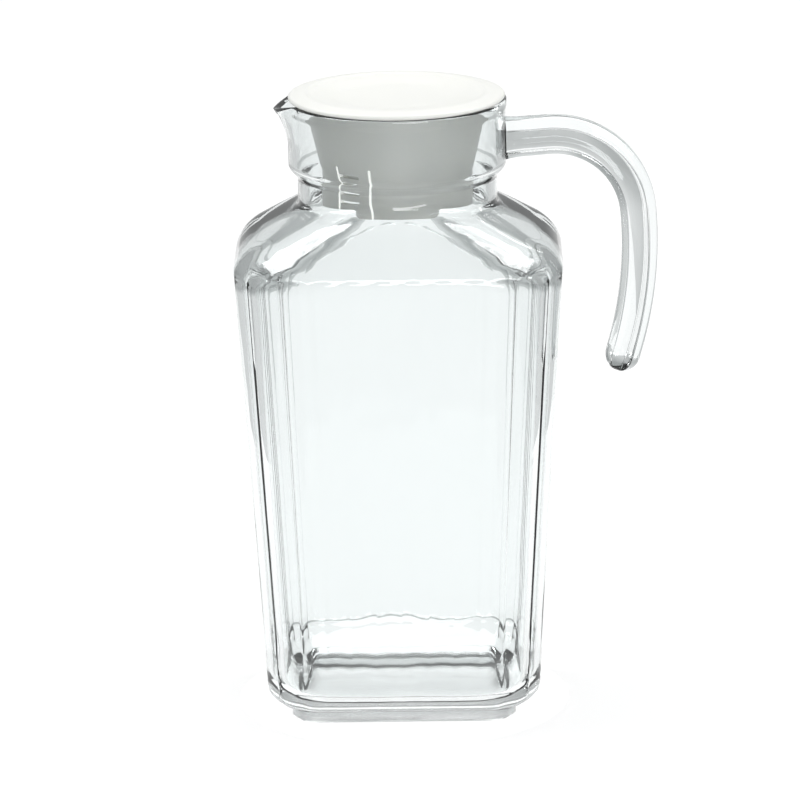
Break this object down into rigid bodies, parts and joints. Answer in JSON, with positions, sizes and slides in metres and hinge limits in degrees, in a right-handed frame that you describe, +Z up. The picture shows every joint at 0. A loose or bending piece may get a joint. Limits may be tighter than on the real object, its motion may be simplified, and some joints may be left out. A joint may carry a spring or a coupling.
{
  "type": "carafe with lid",
  "caption": "Oblong pressed-glass refrigerator carafe with fluted walls, pouring lip, open hanging handle and a lift-off plastic plug lid.",
  "frame": {"origin": "centre of the flat foot, on the table", "axes": "+Z up; +X towards the handle, -X towards the pouring lip; Y front to back"},
  "size_m": [0.1571, 0.0938, 0.2334],
  "materials": {
    "jug_glass": "clear pressed glass, fire polished",
    "lid_plastic": "white moulded plastic, satin"
  },
  "bodies": {
    "jug": {"jug_body": "jug_glass", "handle": "jug_glass"},
    "lid": {"lid": "lid_plastic"}
  },
  "joints": [
    {"name": "lid_lift", "type": "slide", "parent": "jug", "child": "lid", "axis": [0, 0, 1], "range_m": [0, 0.06]}
  ]
}
